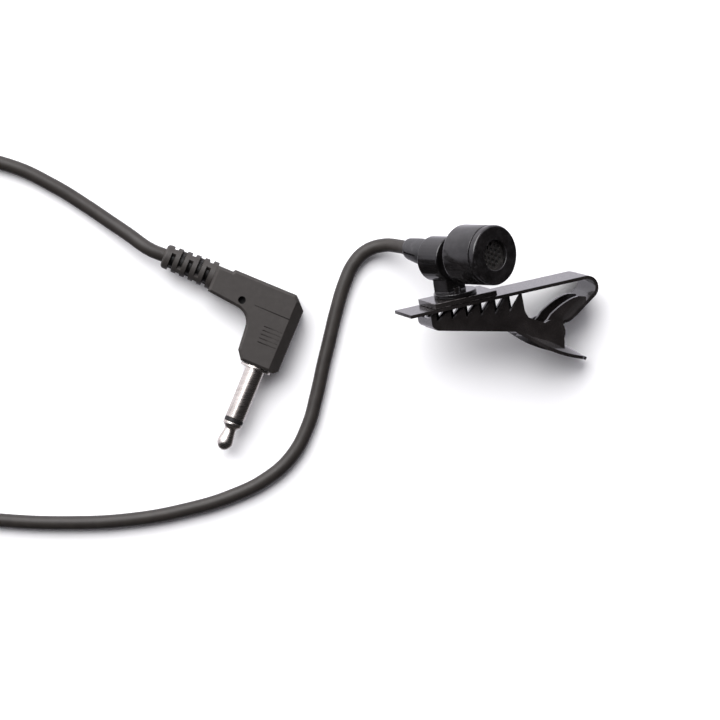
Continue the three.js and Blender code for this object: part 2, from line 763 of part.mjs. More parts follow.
// Cuts the sloped band on the upper or lower face.
function outerBand(side) {
  const deep = 2 * bandWidth;
  const cutter = box(0, deep, armEnd - 1, cableTop + 1, 0, deep);
  cutter.rotateY(Math.atan2(bandDrop, bandWidth));
  cutter.translate(armRight - bandWidth, 0, plugThickness / 2);
  if (side < 0) {
    cutter.scale(1, 1, -1);
    toOutward(cutter);
  }
  return cutter;
}

function plugHousing() {
  const outline = new THREE.Shape();
  outline.moveTo(cableEndX, neckTop);
  outline.lineTo(cableEndX, cableBottom);
  outline.lineTo(armLeft - 2.8, elbowBottom);
  outline.quadraticCurveTo(armLeft - 0.5, elbowBottom - 0.6, armLeft - 0.35, elbowBottom - 3);
  outline.lineTo(armLeft, armEnd + 1.6);
  outline.lineTo(armLeft + collarInset, armEnd);
  outline.lineTo(armRight - collarInset * 0.6, armEnd);
  outline.lineTo(armRight, armEnd + 0.7);
  outline.lineTo(armRight, cableTop - cornerCut);
  outline.lineTo(armRight - cornerCut, cableTop);
  outline.lineTo(cableEndX + 3.2, cableTop);
  outline.lineTo(cableEndX + 2.9, neckTop);
  const body = new THREE.ExtrudeGeometry(outline, {
    depth: plugThickness - 2 * plugEdge,
    bevelEnabled: true,
    bevelThickness: plugEdge,
    bevelSize: plugEdge,
    bevelOffset: -plugEdge,
    bevelSegments: 1,
    curveSegments: 6,
  });
  body.translate(0, 0, plugEdge - plugThickness / 2);
  const bore = cordRadius + pressFit;
  return cut(body,
    outerBand(1),
    outerBand(-1),
    rod(cableEndX - 1, 0, bore, 24),
    rod(cordInsidePlugX, 0, cablePocketRadius, 20),
    ontoShaft(rod(0, pocketEnd, pocketRadius, 24)),
    ontoShaft(rod(0, shaft, sleeveRadius + pressFit, 24)),
    post(markCentre[0], markCentre[1], plugThickness / 2 - markDepth, plugThickness, markRadius, 16));
}

function strainRelief() {
  const frontX = cableEndX - seatGap;
  const rearX = frontX - reliefLength;
  const bore = cordRadius + pressFit;
  const radiusAt = (x) => reliefRearRadius + ((reliefFrontRadius - reliefRearRadius) * (x - rearX)) / reliefLength;
  const profile = [[rearX, bore], [rearX, reliefRearRadius - 0.5], [rearX + 0.5, reliefRearRadius]];
  const pitch = (reliefLength - reliefLands) / reliefGrooves;
  for (let i = 0; i < reliefGrooves; i += 1) {
    const at = rearX + reliefLands - 0.1 + i * pitch;
    const groove = pitch * reliefGrooveShare;
    profile.push([at, radiusAt(at)], [at + 0.1, radiusAt(at) - reliefGrooveDepth]);
    profile.push([at + groove - 0.1, radiusAt(at) - reliefGrooveDepth], [at + groove, radiusAt(at + groove)]);
  }
  profile.push([frontX, reliefFrontRadius], [frontX, bore]);
  return turned(profile, 24);
}

function plugTip() {
  const start = shaft + sleeveLength + insulatorRing + 2 * seatGap;
  const end = start + tipLength;
  return turned([
    [shaft - rodTail, 0],
    [shaft - rodTail, rodRadius],
    [start, rodRadius],
    [start, sleeveRadius],
    [start + 0.5, sleeveRadius],
    [start + 1.15, tipNeckRadius],
    [start + 1.6, tipNeckRadius],
    [end - 1.7, tipBallRadius],
    [end - 1.1, tipBallRadius * 0.96],
    [end - 0.4, tipBallRadius * 0.65],
    [end - 0.1, tipBallRadius * 0.35],
    [end, 0],
  ], 24);
}

function plugInsulator() {
  const ringFrom = shaft + sleeveLength + seatGap;
  return turned([
    [shaft - sleeveTail, rodRadius + pressFit],
    [shaft - sleeveTail, sleeveBoreRadius - pressFit],
    [ringFrom, sleeveBoreRadius - pressFit],
    [ringFrom, sleeveRadius],
    [ringFrom + insulatorRing, sleeveRadius],
    [ringFrom + insulatorRing, rodRadius + pressFit],
  ], 24);
}

function tipLug() {
  const from = shaft - sleeveTail - bushingThickness - 2 * seatGap - lugThickness;
  const ring = tube(from, from + lugThickness, rodRadius + pressFit, lugRingRadius, 16);
  const tag = box(shaft - lugReach, from + lugThickness, -lugWidth / 2, lugWidth / 2,
    -lugRingRadius, -lugRingRadius + lugThickness);
  return join(ring, tag);
}

function sleeveLug() {
  const from = pocketEnd - wireGap;
  const near = sleeveRadius + pressFit;
  return box(shaft - lugReach, from, -lugWidth / 2, lugWidth / 2, near, near + lugThickness);
}

function plugPieces() {
  const group = new THREE.Group();
  group.add(piece('plug_housing', plugHousing(), 'plug'));
  group.add(piece('plug_strain_relief', strainRelief(), 'plug'));
  group.add(piece('cord_end_plug', rod(cableEndX - reliefLength, cordInsidePlugX, cordRadius, 24), 'cord'));
  group.add(piece('plug_washer', ontoShaft(
    tube(shaft - washerThickness, shaft, sleeveRadius + pressFit, washerRadius, 28)), 'nickel'));
  group.add(piece('plug_sleeve', ontoShaft(
    tube(shaft - sleeveTail, shaft + sleeveLength, sleeveBoreRadius, sleeveRadius, 28)), 'nickel'));
  group.add(piece('plug_insulator', ontoShaft(plugInsulator()), 'insulator'));
  group.add(piece('plug_tip', ontoShaft(plugTip()), 'nickel'));
  const bushingFront = shaft - sleeveTail - seatGap;
  group.add(piece('plug_bushing', ontoShaft(
    tube(bushingFront - bushingThickness, bushingFront, rodRadius + pressFit, bushingRadius, 20)), 'insulator'));
  group.add(piece('plug_tip_lug', ontoShaft(tipLug()), 'brass'));
  group.add(piece('plug_sleeve_lug', ontoShaft(sleeveLug()), 'brass'));
  const lugY = -(shaft - lugReach) + wireGap;
  group.add(piece('plug_signal_wire', wire([
    [cordInsidePlugX + wireGap, 0, -0.6],
    [-4.2, 0, -0.7],
    [-0.9, -1.1, -1.0],
    [0, lugY + wireRadius, -1.15],
  ], wireRadius, 8, 10), 'redWire'));
  group.add(piece('plug_shield_wire', wire([
    [cordInsidePlugX + wireGap, 0, 0.6],
    [-4.2, 0.1, 0.8],
    [-0.9, -1.0, 1.3],
    [0, lugY + wireRadius, 1.6],
  ], wireRadius, 8, 10), 'bareWire'));
  return group;
}

// ---------- cord ----------
// A plain tube from a face along its axis, then through the route's points.
function cordRun(face, along, route) {
  const from = face.clone().addScaledVector(along, cordGap);
  const lead = face.clone().addScaledVector(along, cordLead);
  const points = [from.toArray(), lead.toArray(), ...route];
  const length = new THREE.CatmullRomCurve3(points.map((p) => new THREE.Vector3(...p))).getLength();
  return wire(points, cordRadius, 8, Math.round(length / cordStep));
}

function cordCoil() {
  const low = coilLift;
  const high = coilLift + coilHeight;
  const inner = coilRadius - coilWidth / 2;
  const outer = coilRadius + coilWidth / 2;
  const bevel = cordRadius * 0.6;
  const profile = [
    [inner, low + bevel], [inner + bevel, low], [outer - bevel, low], [outer, low + bevel],
    [outer, high - bevel], [outer - bevel, high], [inner + bevel, high], [inner, high - bevel], [inner, low + bevel],
  ];
  const geometry = new THREE.LatheGeometry(profile.map(([radius, z]) => new THREE.Vector2(radius, z)), 40);
  geometry.rotateX(Math.PI / 2);
  return toOutward(geometry);
}

// A flat strap closed round the coil's turns.
function coilTie() {
  const edge = coilRadius - coilWidth / 2;
  const insideX = Math.sqrt(edge ** 2 - (tieWidth / 2) ** 2) - cordGap;
  const outsideX = coilRadius + coilWidth / 2 + cordGap;
  const low = coilLift - cordGap;
  const high = coilLift + coilHeight + cordGap;
  const half = tieWidth / 2;
  const strap = box(insideX - tieThickness, outsideX + tieThickness, -half, half, low - tieThickness, high + tieThickness);
  const geometry = cut(strap, box(insideX, outsideX, -half - 1, half + 1, low, high));
  geometry.rotateZ(deg(tieAngle));
  return geometry;
}

// ---------- assembly ----------
const model = new THREE.Group();

const lying = new THREE.Group();
lying.rotation.set(deg(clipRoll), deg(-noseUp), deg(heading), 'ZYX');
lying.add(microphone());
lying.add(piece('holder_ring', holder(), 'glossBlack'));
lying.add(piece('swivel_rivet', swivelRivet(), 'rivet'));

const arm = new THREE.Group();
arm.position.set(0, 0, -axisHeight);
arm.rotation.z = deg(swivelAngle);
arm.add(piece('saddle', saddle(), 'clipBlack'));
arm.add(piece('spring_strip', springStrip(), 'clipBlack'));
arm.add(piece('lower_jaw', lowerJaw(), 'clipBlack'));
lying.add(arm);

model.add(lying);
model.updateMatrixWorld(true);
const extent = new THREE.Box3().setFromObject(lying, true);
const middle = extent.getCenter(new THREE.Vector3());
lying.position.set(-middle.x, -middle.y, -extent.min.z);
model.updateMatrixWorld(true);

const plug = plugPieces();
plug.rotation.z = deg(plugTurn);
plug.position.set(plugPlace[0], plugPlace[1], plugThickness / 2);
model.add(plug);
model.updateMatrixWorld(true);

const bootFace = lying.localToWorld(new THREE.Vector3(bootRearX, 0, bootBend));
const bootAlong = new THREE.Vector3(-1, 0, bootLean).transformDirection(lying.matrixWorld);
const reliefFace = plug.localToWorld(new THREE.Vector3(cableEndX - seatGap - reliefLength, 0, 0));
const reliefAlong = new THREE.Vector3(-1, 0, 0).transformDirection(plug.matrixWorld);
model.add(piece('cord_mic_run', cordRun(bootFace, bootAlong, micRoute), 'cord'));
model.add(piece('cord_plug_run', cordRun(reliefFace, reliefAlong, plugRoute), 'cord'));

const coil = new THREE.Group();
coil.position.set(coilCentre[0], coilCentre[1], 0);
coil.add(piece('cord_coil', cordCoil(), 'cord'));
coil.add(piece('coil_tie', coilTie(), 'tie'));
model.add(coil);
model.updateMatrixWorld(true);

export default model;
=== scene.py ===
"""Clip-on lavalier microphone with its cord and right-angle 3.5 mm plug, lying on a pale table.

Lengths written as plain numbers are millimetres in a piece's own frame, as a turner or toolmaker
would dimension it; MM turns them into metres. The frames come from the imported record's joints and mounts.
"""
import json
import math

import bmesh
import bpy
from mathutils import Matrix, Vector


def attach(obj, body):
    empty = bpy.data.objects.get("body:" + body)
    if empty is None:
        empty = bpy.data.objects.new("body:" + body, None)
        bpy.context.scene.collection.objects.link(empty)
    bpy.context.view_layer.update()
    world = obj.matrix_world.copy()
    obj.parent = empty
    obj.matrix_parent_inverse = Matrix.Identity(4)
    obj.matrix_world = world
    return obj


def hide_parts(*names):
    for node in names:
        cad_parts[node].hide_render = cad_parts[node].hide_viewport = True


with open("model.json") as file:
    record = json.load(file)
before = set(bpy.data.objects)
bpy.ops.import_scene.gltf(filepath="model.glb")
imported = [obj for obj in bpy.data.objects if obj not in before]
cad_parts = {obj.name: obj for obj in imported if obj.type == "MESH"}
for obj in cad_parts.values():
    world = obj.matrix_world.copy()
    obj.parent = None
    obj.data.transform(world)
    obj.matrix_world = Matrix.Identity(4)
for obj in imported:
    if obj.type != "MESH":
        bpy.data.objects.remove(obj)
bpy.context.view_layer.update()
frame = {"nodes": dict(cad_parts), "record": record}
scene = bpy.context.scene
record = frame["record"]
MM = 0.001

# ---------- dimensions shared by several pieces, mm ----------
CORD_RADIUS = 1.25
CORD_BORE = 1.28         # hole that the cord passes through
SEAT = 0.04              # between faces that rest on each other
AXIS_HEIGHT = 8.6        # microphone axis above the strip
FACE_X = 11.9            # front of the microphone, from the swivel axis
HEAD_RADIUS = 5.3
HEAD_BACK_X = 3.7
NECK_RADIUS = 1.85
NECK_END_X = -5.5
SOCKET_END_X = NECK_END_X - SEAT  # bottom of the boot's socket, on the neck's end
BOOT_FRONT_X = -4.48
BOOT_REAR_X = -10.38
BOOT_BEND = 0.7
PLUG_SHAFT = 12.78       # from the plug's cable axis to the washer's outer face
RELIEF_FRONT_X = -13.24
RELIEF_LENGTH = 9.8
SLEEVE_RADIUS = 1.75
SLEEVE_LENGTH = 9.6
SLEEVE_TAIL = 3.4        # how far the sleeve and its insulator reach back into the housing
SLEEVE_BORE = 0.98
INSULATOR_RING = 0.7
ROD_RADIUS = 0.55        # the tip's rod, inside the sleeve
ROD_BORE = 0.58
ROD_TAIL = 5.2
TIP_NECK_RADIUS = 1.05

# ---------- camera ----------
camera = bpy.data.objects.new("camera", bpy.data.cameras.new("camera"))
camera.data.lens = 165
camera.data.sensor_width = 36
camera.data.clip_start = 0.01
camera.location = (-0.0245, -0.01195, 0.6)
scene.collection.objects.link(camera)
scene.camera = camera


# ---------- frames ----------
def framed(origin, x, y, z):
    turn = Matrix((x, y, z)).transposed().to_4x4()
    return Matrix.Translation(origin) @ turn


joints = {joint["name"]: joint for joint in record["behaviour"]["joints"]}
mounts = {mount["name"]: mount for mount in record["mounts"]}
forward = Vector(joints["holder_turn"]["axis"]).normalized()
upward = Vector(joints["clip_swivel"]["axis"]).normalized()
across = Vector(joints["jaw_open"]["axis"]).normalized()
microphone = framed(Vector(joints["holder_turn"]["pos_m"]), forward, upward.cross(forward), upward)
clip = framed(Vector(joints["clip_swivel"]["pos_m"]), across.cross(upward), across, upward)
shaft_way = Vector(mounts["plug_shoulder"]["axis"]).normalized()
plug_y = -shaft_way
plug_z = Vector((0, 0, 1))
plug_x = plug_y.cross(plug_z)
plug = framed(Vector(mounts["plug_shoulder"]["pos_m"]), plug_x, plug_y, plug_z)
plug = plug @ Matrix.Translation(Vector((0, PLUG_SHAFT, -2.3)) * MM)
shaft = plug @ Matrix.Rotation(-math.pi / 2, 4, "Z")  # x runs out along the shaft


def at(matrix, x, y, z):
    return matrix @ (Vector((x, y, z)) * MM)


# ---------- materials ----------
def node(tree, kind, **values):
    made = tree.nodes.new(kind)
    for key, value in values.items():
        setattr(made, key, value)
    return made


def scattered(tree, place, scale, detail=4.0):
    texture = node(tree, "ShaderNodeTexNoise")
    texture.inputs["Scale"].default_value = scale
    texture.inputs["Detail"].default_value = detail
    tree.links.new(place, texture.inputs["Vector"])
    return texture.outputs["Fac"]


def spread(tree, value, low, high, from_low=0.3, from_high=0.7):
    ramp = node(tree, "ShaderNodeMapRange")
    for name, number in (("From Min", from_low), ("From Max", from_high), ("To Min", low), ("To Max", high)):
        ramp.inputs[name].default_value = number
    tree.links.new(value, ramp.inputs["Value"])
    return ramp.outputs["Result"]


def mixed(tree, share, first, second):
    mix = node(tree, "ShaderNodeMix", data_type="RGBA")
    tree.links.new(share, mix.inputs["Factor"])
    sockets = [s for s in mix.inputs if s.type == "RGBA"]
    for socket, value in zip(sockets, (first, second)):
        if isinstance(value, tuple):
            socket.default_value = (*value, 1)
        else:
            tree.links.new(value, socket)
    return [s for s in mix.outputs if s.type == "RGBA"][0]


def finish(name, colour, second, roughness, metallic=0.0, patch=350.0, grain=2500.0, height=0.01,
           stretch=(1, 1, 1), turn=0.0, play=0.06, coat=0.0, sheen=0.0, specular=0.5, worn=None, wear=0.6):
    """A surface with patchy colour, uneven gloss, fine relief, edges worn to another colour, and painted
    shade on points marked as lying deep in a groove, slit or hole.

    patch and grain are the coarse and fine detail, in features per metre; height is the relief in mm."""
    material = bpy.data.materials.new(name)
    material.use_nodes = True
    tree = material.node_tree
    shader = tree.nodes["Principled BSDF"]
    place = node(tree, "ShaderNodeTexCoord").outputs["Object"]
    mapping = node(tree, "ShaderNodeMapping")
    mapping.inputs["Scale"].default_value = stretch
    mapping.inputs["Rotation"].default_value = (0, 0, turn)
    tree.links.new(place, mapping.inputs["Vector"])
    drawn = mapping.outputs["Vector"]
    patches = scattered(tree, drawn, patch)
    fine = scattered(tree, drawn, grain, 6.0)
    tint = mixed(tree, spread(tree, patches, 0.0, 1.0), colour, second)
    rough = spread(tree, fine, roughness - play, roughness + play)
    if worn:
        edge = node(tree, "ShaderNodeAttribute", attribute_name="wear").outputs["Fac"]
        rubbed = node(tree, "ShaderNodeMath", operation="MULTIPLY")
        tree.links.new(edge, rubbed.inputs[0])
        tree.links.new(spread(tree, scattered(tree, place, 900.0), 0.0, wear, 0.42, 0.62), rubbed.inputs[1])
        tint = mixed(tree, rubbed.outputs[0], tint, worn)
    # Painted shade: points marked by this attribute are mixed towards a near-black copy of the colour,
    # standing in for the shade inside grooves, slits and holes.
    painted_shade = node(tree, "ShaderNodeAttribute", attribute_name="recess_shade").outputs["Fac"]
    tint = mixed(tree, painted_shade, tint, tuple(0.12 * c for c in colour))
    tree.links.new(tint, shader.inputs["Base Color"])
    tree.links.new(rough, shader.inputs["Roughness"])
    relief = node(tree, "ShaderNodeBump")
    relief.inputs["Strength"].default_value = 0.6
    relief.inputs["Distance"].default_value = height * MM
    tree.links.new(fine, relief.inputs["Height"])
    tree.links.new(relief.outputs["Normal"], shader.inputs["Normal"])
    shader.inputs["Metallic"].default_value = metallic
    shader.inputs["Specular IOR Level"].default_value = specular
    shader.inputs["Coat Weight"].default_value = coat
    shader.inputs["Coat Roughness"].default_value = 0.06
    shader.inputs["Sheen Weight"].default_value = sheen
    return material


plug_turn = -math.atan2(plug_x.y, plug_x.x)
gloss = finish("gloss_black", (0.0035, 0.0031, 0.0032), (0.008, 0.007, 0.0072), 0.1, patch=260, grain=1500,
               height=0.0012, play=0.03, worn=(0.05, 0.048, 0.05), wear=0.4)
rubber = finish("boot_rubber", (0.010, 0.010, 0.011), (0.018, 0.017, 0.018), 0.4, grain=5200, height=0.012,
                play=0.08, worn=(0.05, 0.05, 0.052))
paint = finish("black_painted_steel", (0.010, 0.0085, 0.0082), (0.019, 0.0165, 0.016), 0.18, patch=420,
               grain=1700, height=0.0025, play=0.05, coat=0.15, worn=(0.14, 0.13, 0.128), wear=0.6)
mould = finish("plug_moulding", (0.032, 0.0285, 0.0265), (0.038, 0.034, 0.0315), 0.5, patch=900, grain=6500,
               height=0.012, play=0.08, specular=0.25, worn=(0.07, 0.064, 0.059), wear=0.45)
jacket = finish("cord_jacket", (0.023, 0.020, 0.018), (0.031, 0.027, 0.024), 0.46, patch=600, grain=5600,
                height=0.01, play=0.09, specular=0.3)
nickel = finish("turned_nickel", (0.50, 0.46, 0.42), (0.64, 0.60, 0.56), 0.25, metallic=1.0, patch=500,
                grain=2600, height=0.003, stretch=(0.25, 3.2, 0.25), turn=plug_turn, play=0.07,
                worn=(0.76, 0.72, 0.68), wear=0.5)
dark_ring = finish("insulator_plastic", (0.006, 0.0055, 0.0055), (0.012, 0.011, 0.011), 0.4, grain=5000,
                   specular=0.25, worn=(0.03, 0.03, 0.03))
mesh_steel = finish("grille_steel", (0.07, 0.065, 0.062), (0.15, 0.14, 0.132), 0.3, metallic=0.8, grain=6000,
                    height=0.005, worn=(0.22, 0.21, 0.2))
felt = finish("dust_felt", (0.003, 0.003, 0.003), (0.010, 0.0095, 0.009), 0.92, patch=4200, grain=9000,
              height=0.08, sheen=0.5)
tin = finish("capsule_tin", (0.50, 0.51, 0.52), (0.66, 0.67, 0.68), 0.28, metallic=1.0, stretch=(1, 1, 5))
film = finish("capsule_film", (0.62, 0.58, 0.46), (0.74, 0.70, 0.60), 0.22, metallic=0.5, height=0.003)
brass = finish("brass", (0.50, 0.34, 0.12), (0.66, 0.48, 0.20), 0.28, metallic=1.0, height=0.006)
board = finish("circuit_board", (0.010, 0.09, 0.035), (0.02, 0.14, 0.06), 0.42, grain=5200)
solder = finish("solder", (0.52, 0.54, 0.56), (0.70, 0.71, 0.72), 0.24, metallic=1.0, patch=1400)
foam = finish("gasket_foam", (0.014, 0.014, 0.014), (0.03, 0.03, 0.03), 0.85, grain=7000, height=0.05)
crimp = finish("crimped_ferrule", (0.42, 0.42, 0.43), (0.60, 0.60, 0.61), 0.34, metallic=1.0)
red = finish("red_wire", (0.30, 0.02, 0.015), (0.42, 0.04, 0.03), 0.4, patch=900)
copper = finish("bare_wire", (0.52, 0.28, 0.15), (0.68, 0.40, 0.24), 0.3, metallic=1.0, patch=1800)
strap = finish("tie_strap", (0.012, 0.012, 0.013), (0.024, 0.024, 0.025), 0.6, grain=7000, height=0.03,
               worn=(0.05, 0.05, 0.05))
LOOKS = {
    "front_cap": gloss, "barrel": gloss, "holder_ring": gloss, "grille_disc": mesh_steel, "dust_felt": felt,
    "capsule_can": tin, "capsule_membrane": film, "capsule_backplate": brass, "capsule_board": board,
    "capsule_gasket": foam, "solder_signal": solder, "solder_shield": solder, "cord_ferrule": crimp,
    "cord_boot": rubber, "cord_end_mic": jacket, "wire_signal": red, "wire_shield": copper,
    "swivel_rivet": paint, "saddle": paint, "spring_strip": paint, "lower_jaw": paint,
    "plug_housing": mould, "plug_strain_relief": mould, "cord_end_plug": jacket, "plug_washer": nickel,
    "plug_sleeve": nickel, "plug_insulator": dark_ring, "plug_tip": nickel, "plug_bushing": dark_ring,
    "plug_tip_lug": brass, "plug_sleeve_lug": brass, "plug_signal_wire": red, "plug_shield_wire": copper,
    "cord_mic_run": jacket, "cord_plug_run": jacket, "cord_coil": jacket, "coil_tie": strap,
}
for name, shown in frame["nodes"].items():
    shown.data.materials.clear()
    shown.data.materials.append(LOOKS[name])
body_of = {name: body for body, names in record["behaviour"]["bodies"].items() for name in names}


# ---------- making pieces ----------
def stands_for(piece, name):
    """Puts a finished piece in place of a CAD node, on that node's body."""
    if not piece.data.materials:
        piece.data.materials.append(LOOKS[name])
    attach(piece, body_of[name])
    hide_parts(name)
    return piece


def linked(name, data):
    made = bpy.data.objects.new(name, data)
    scene.collection.objects.link(made)
    return made


def softened(mesh, degrees=38):
    mesh.shade_smooth()
    mesh.set_sharp_from_angle(angle=math.radians(degrees))


def rounded(profile, closed, steps=5):
    """The corners of (x, radius, fillet) turned into (x, radius, wear) points."""
    points = []
    count = len(profile)
    for i, corner in enumerate(profile):
        here = Vector(corner[:2])
        fillet = corner[2] if len(corner) > 2 else 0
        if not fillet or (not closed and i in (0, count - 1)):
            points.append((here.x, here.y, 0.0))
            continue
        before = Vector(profile[i - 1][:2]) - here
        after = Vector(profile[(i + 1) % count][:2]) - here
        start = here + before.normalized() * min(fillet, before.length * 0.48)
        end = here + after.normalized() * min(fillet, after.length * 0.48)
        for step in range(steps + 1):
            t = step / steps
            p = start * (1 - t) ** 2 + here * 2 * t * (1 - t) + end * t ** 2
            points.append((p.x, p.y, 1.0 if 0 < step < steps else 0.3))
    return points


def on_circle(x, angle, radius):
    return (x, radius * math.cos(angle), radius * math.sin(angle))


def turned(name, profile, placing, segments=96, shape=on_circle, painted_shade=None):
    """A turned piece about its frame's x axis.

    shape moves a point (x, angle, radius) to (x, y, z); the last argument gives each point's painted shade, 0
    to 1, darkest deep in a groove."""
    closed = profile[0][1] > 0
    points = rounded(profile, closed)
    work = bmesh.new()
    wear = work.verts.layers.float.new("wear")
    # the second layer holds each point's painted shade, darkened in the finish
    recess_shade = work.verts.layers.float.new("recess_shade")
    rings = []
    for x, radius, edge in points:
        ring = []
        for i in range(segments if radius > 1e-6 else 1):
            angle = 2 * math.pi * i / segments
            vertex = work.verts.new(at(placing, *shape(x, angle, radius)))
            vertex[wear] = edge
            vertex[recess_shade] = painted_shade(x, angle, radius) if painted_shade else 0.0
            ring.append(vertex)
        rings.append(ring)
    pairs = list(zip(rings, rings[1:]))
    if closed:
        pairs.append((rings[-1], rings[0]))
    for first, second in pairs:
        for i in range(segments):
            j = (i + 1) % segments
            around = (first[i % len(first)], first[j % len(first)],
                      second[j % len(second)], second[i % len(second)])
            corners = list(dict.fromkeys(around))  # a point on the axis counts once
            if len(corners) > 2:
                work.faces.new(corners)
    bmesh.ops.recalc_face_normals(work, faces=work.faces)
    mesh = bpy.data.meshes.new(name)
    work.to_mesh(mesh)
    work.free()
    softened(mesh)
    return linked(name, mesh)


def block(placing, low, high):
    """A box between two corners, used as a cutter."""
    work = bmesh.new()
    bmesh.ops.create_cube(work, size=1.0)
    for vertex in work.verts:
        spot = [l + (c + 0.5) * (h - l) for l, h, c in zip(low, high, vertex.co)]
        vertex.co = at(placing, *spot)
    mesh = bpy.data.meshes.new("cutter")
    work.to_mesh(mesh)
    work.free()
    return linked("cutter", mesh)


def baked(piece):
    """Applies a piece's modifiers."""
    graph = bpy.context.evaluated_depsgraph_get()
    mesh = bpy.data.meshes.new_from_object(piece.evaluated_get(graph))
    piece.modifiers.clear()
    piece.data = mesh
    return piece


def carved(piece, cutters):
    for cutter in cutters:
        cut = piece.modifiers.new("cut", "BOOLEAN")
        cut.operation = "DIFFERENCE"
        cut.object = cutter
        cut.solver = "EXACT"
    baked(piece)
    for cutter in cutters:
        bpy.data.objects.remove(cutter)
    return piece


def merged_copy(name, piece_name):
    """A copy of a CAD node's mesh with its flat faces whole, ready for rounding."""
    work = bmesh.new()
    work.from_mesh(frame["nodes"][name].data)
    bmesh.ops.remove_doubles(work, verts=work.verts, dist=2e-6)
    bmesh.ops.dissolve_limit(work, angle_limit=math.radians(0.8), verts=work.verts, edges=work.edges)
    bmesh.ops.recalc_face_normals(work, faces=work.faces)
    mesh = bpy.data.meshes.new(piece_name)
    work.to_mesh(mesh)
    work.free()
    return linked(piece_name, mesh)


def edged(name, piece_name, width, cutters=(), limit=30, segments=3):
    """A CAD node's shape with its edges rounded over, then any cutters, shaded by face size."""
    piece = merged_copy(name, piece_name)
    look = LOOKS[name]
    piece.data.materials.append(look)
    piece.data.materials.append(look)
    bevel = piece.modifiers.new("round", "BEVEL")
    bevel.width = width * MM
    bevel.segments = segments
    bevel.limit_method = "ANGLE"
    bevel.angle_limit = math.radians(limit)
    bevel.material = 1
    baked(piece)
    mesh = piece.data
    wear = mesh.attributes.new("wear", "FLOAT", "FACE")
    wear.data.foreach_set("value", [float(face.material_index == 1) for face in mesh.polygons])
    if cutters:
        carved(piece, cutters)
        mesh = piece.data
    for face in mesh.polygons:
        face.material_index = 0
    mesh.materials.clear()
    mesh.materials.append(look)
    softened(mesh, 44)
    even = piece.modifiers.new("even", "WEIGHTED_NORMAL")
    even.keep_sharp = True
    even.weight = 80
    return stands_for(baked(piece), name)


# ---------- cord: one length from the boot, over the table, round the coil and back to the plug ----------
# The two routes repeat the points of the CAD source, in mm from the frame's origin.
MIC_ROUTE = [
    (-20.3, 8.8, 2.7), (-23.4, 7.8, 1.65), (-25.6, 5.6, 1.33), (-27.3, 2, 1.26), (-28.8, -3, 1.25),
    (-30, -8, 1.25), (-31.2, -13, 1.25), (-32.3, -18, 1.25), (-34, -24, 1.25), (-37, -29.5, 1.25),
    (-41.5, -33.5, 1.25), (-48, -36.7, 1.25), (-56, -39.1, 1.25), (-66, -40.9, 1.25),
    (-78, -41.5, 1.25), (-90, -41, 1.25), (-100, -39.9, 1.25), (-107, -39, 1.25),
]
PLUG_ROUTE = [
    (-66.6, 10.9, 2.4), (-70, 13.2, 1.8), (-74, 15.9, 1.42), (-80, 19.6, 1.27), (-88, 23.3, 1.25),
    (-97, 24.9, 1.25), (-106.5, 23.4, 1.25), (-116, 18.8, 1.25), (-124.5, 11.5, 1.25),
    (-127.6, 7.1, 1.27), (-130, 2.3, 1.45), (-131.4, -2.4, 1.95), (-131.9, -6.5, 2.6), (-132.1, -12, 3.4),
]
COIL_CENTRE = (-111.7, -18.4)
COIL_INNER = 10.45           # middle of the innermost turn
COIL_LAYER = 4               # turns beside each other, in each of two layers
TIE_LIFT = 0.45              # how far the strap under the turns lifts them
COIL_STEPS = 16              # points in a turn
COIL_TURNS = 8.25
COIL_CLIMB = 4.0             # turns before the cord climbs on to the lower layer
STEP_SPEED = 4               # each step to the next turn or layer takes a quarter turn


def eased(t):
    t = min(1.0, max(0.0, t))
    return t * t * (3 - 2 * t)


def coil_point(turns):
    """Where the cord is after so many turns: in by four steps below, then out by four on top."""
    inward = sum(eased((turns - 0.25 - i) * STEP_SPEED) for i in range(COIL_LAYER))
    outward = sum(eased((turns - COIL_CLIMB - 0.75 - i) * STEP_SPEED) for i in range(COIL_LAYER))
    radius = COIL_INNER + 2 * CORD_RADIUS * (COIL_LAYER - inward + outward)
    angle = -math.pi / 2 - 2 * math.pi * turns
    over_tie = max(0.0, math.sin(angle)) ** 6
    z = CORD_RADIUS + TIE_LIFT * over_tie + 2 * CORD_RADIUS * eased((turns - COIL_CLIMB) * STEP_SPEED)
    return (COIL_CENTRE[0] + radius * math.cos(angle), COIL_CENTRE[1] + radius * math.sin(angle), z)


def made_cord():
    boot_end = at(microphone, BOOT_REAR_X, 0, BOOT_BEND)
    slope = BOOT_BEND / (SOCKET_END_X - BOOT_REAR_X)
    boot_way = (microphone.to_3x3() @ Vector((-1, 0, slope))).normalized()
    relief_end = at(plug, RELIEF_FRONT_X - RELIEF_LENGTH, 0, 0)
    relief_way = -plug_x
    lead = 2.8 * MM
    route = [boot_end, boot_end + boot_way * lead]
    route += [Vector(p) * MM for p in MIC_ROUTE]
    route += [Vector(coil_point(i / COIL_STEPS)) * MM for i in range(int(COIL_TURNS * COIL_STEPS) + 1)]
    route += [Vector(p) * MM for p in reversed(PLUG_ROUTE)]
    route += [relief_end + relief_way * lead, relief_end]
    curve = bpy.data.curves.new("cord", "CURVE")
    curve.dimensions = "3D"
    curve.bevel_depth = CORD_RADIUS * MM
    curve.bevel_resolution = 8
    curve.resolution_u = 10
    spline = curve.splines.new("BEZIER")
    spline.bezier_points.add(len(route) - 1)
    for point, spot in zip(spline.bezier_points, route):
        point.co = spot
        point.handle_left_type = "AUTO"
        point.handle_right_type = "AUTO"
    curve.materials.append(jacket)
    cord = linked("cord", curve)
    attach(cord, "microphone")
    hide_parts("cord_mic_run", "cord_coil", "cord_plug_run")
    return cord, boot_end


cord, cord_exit = made_cord()


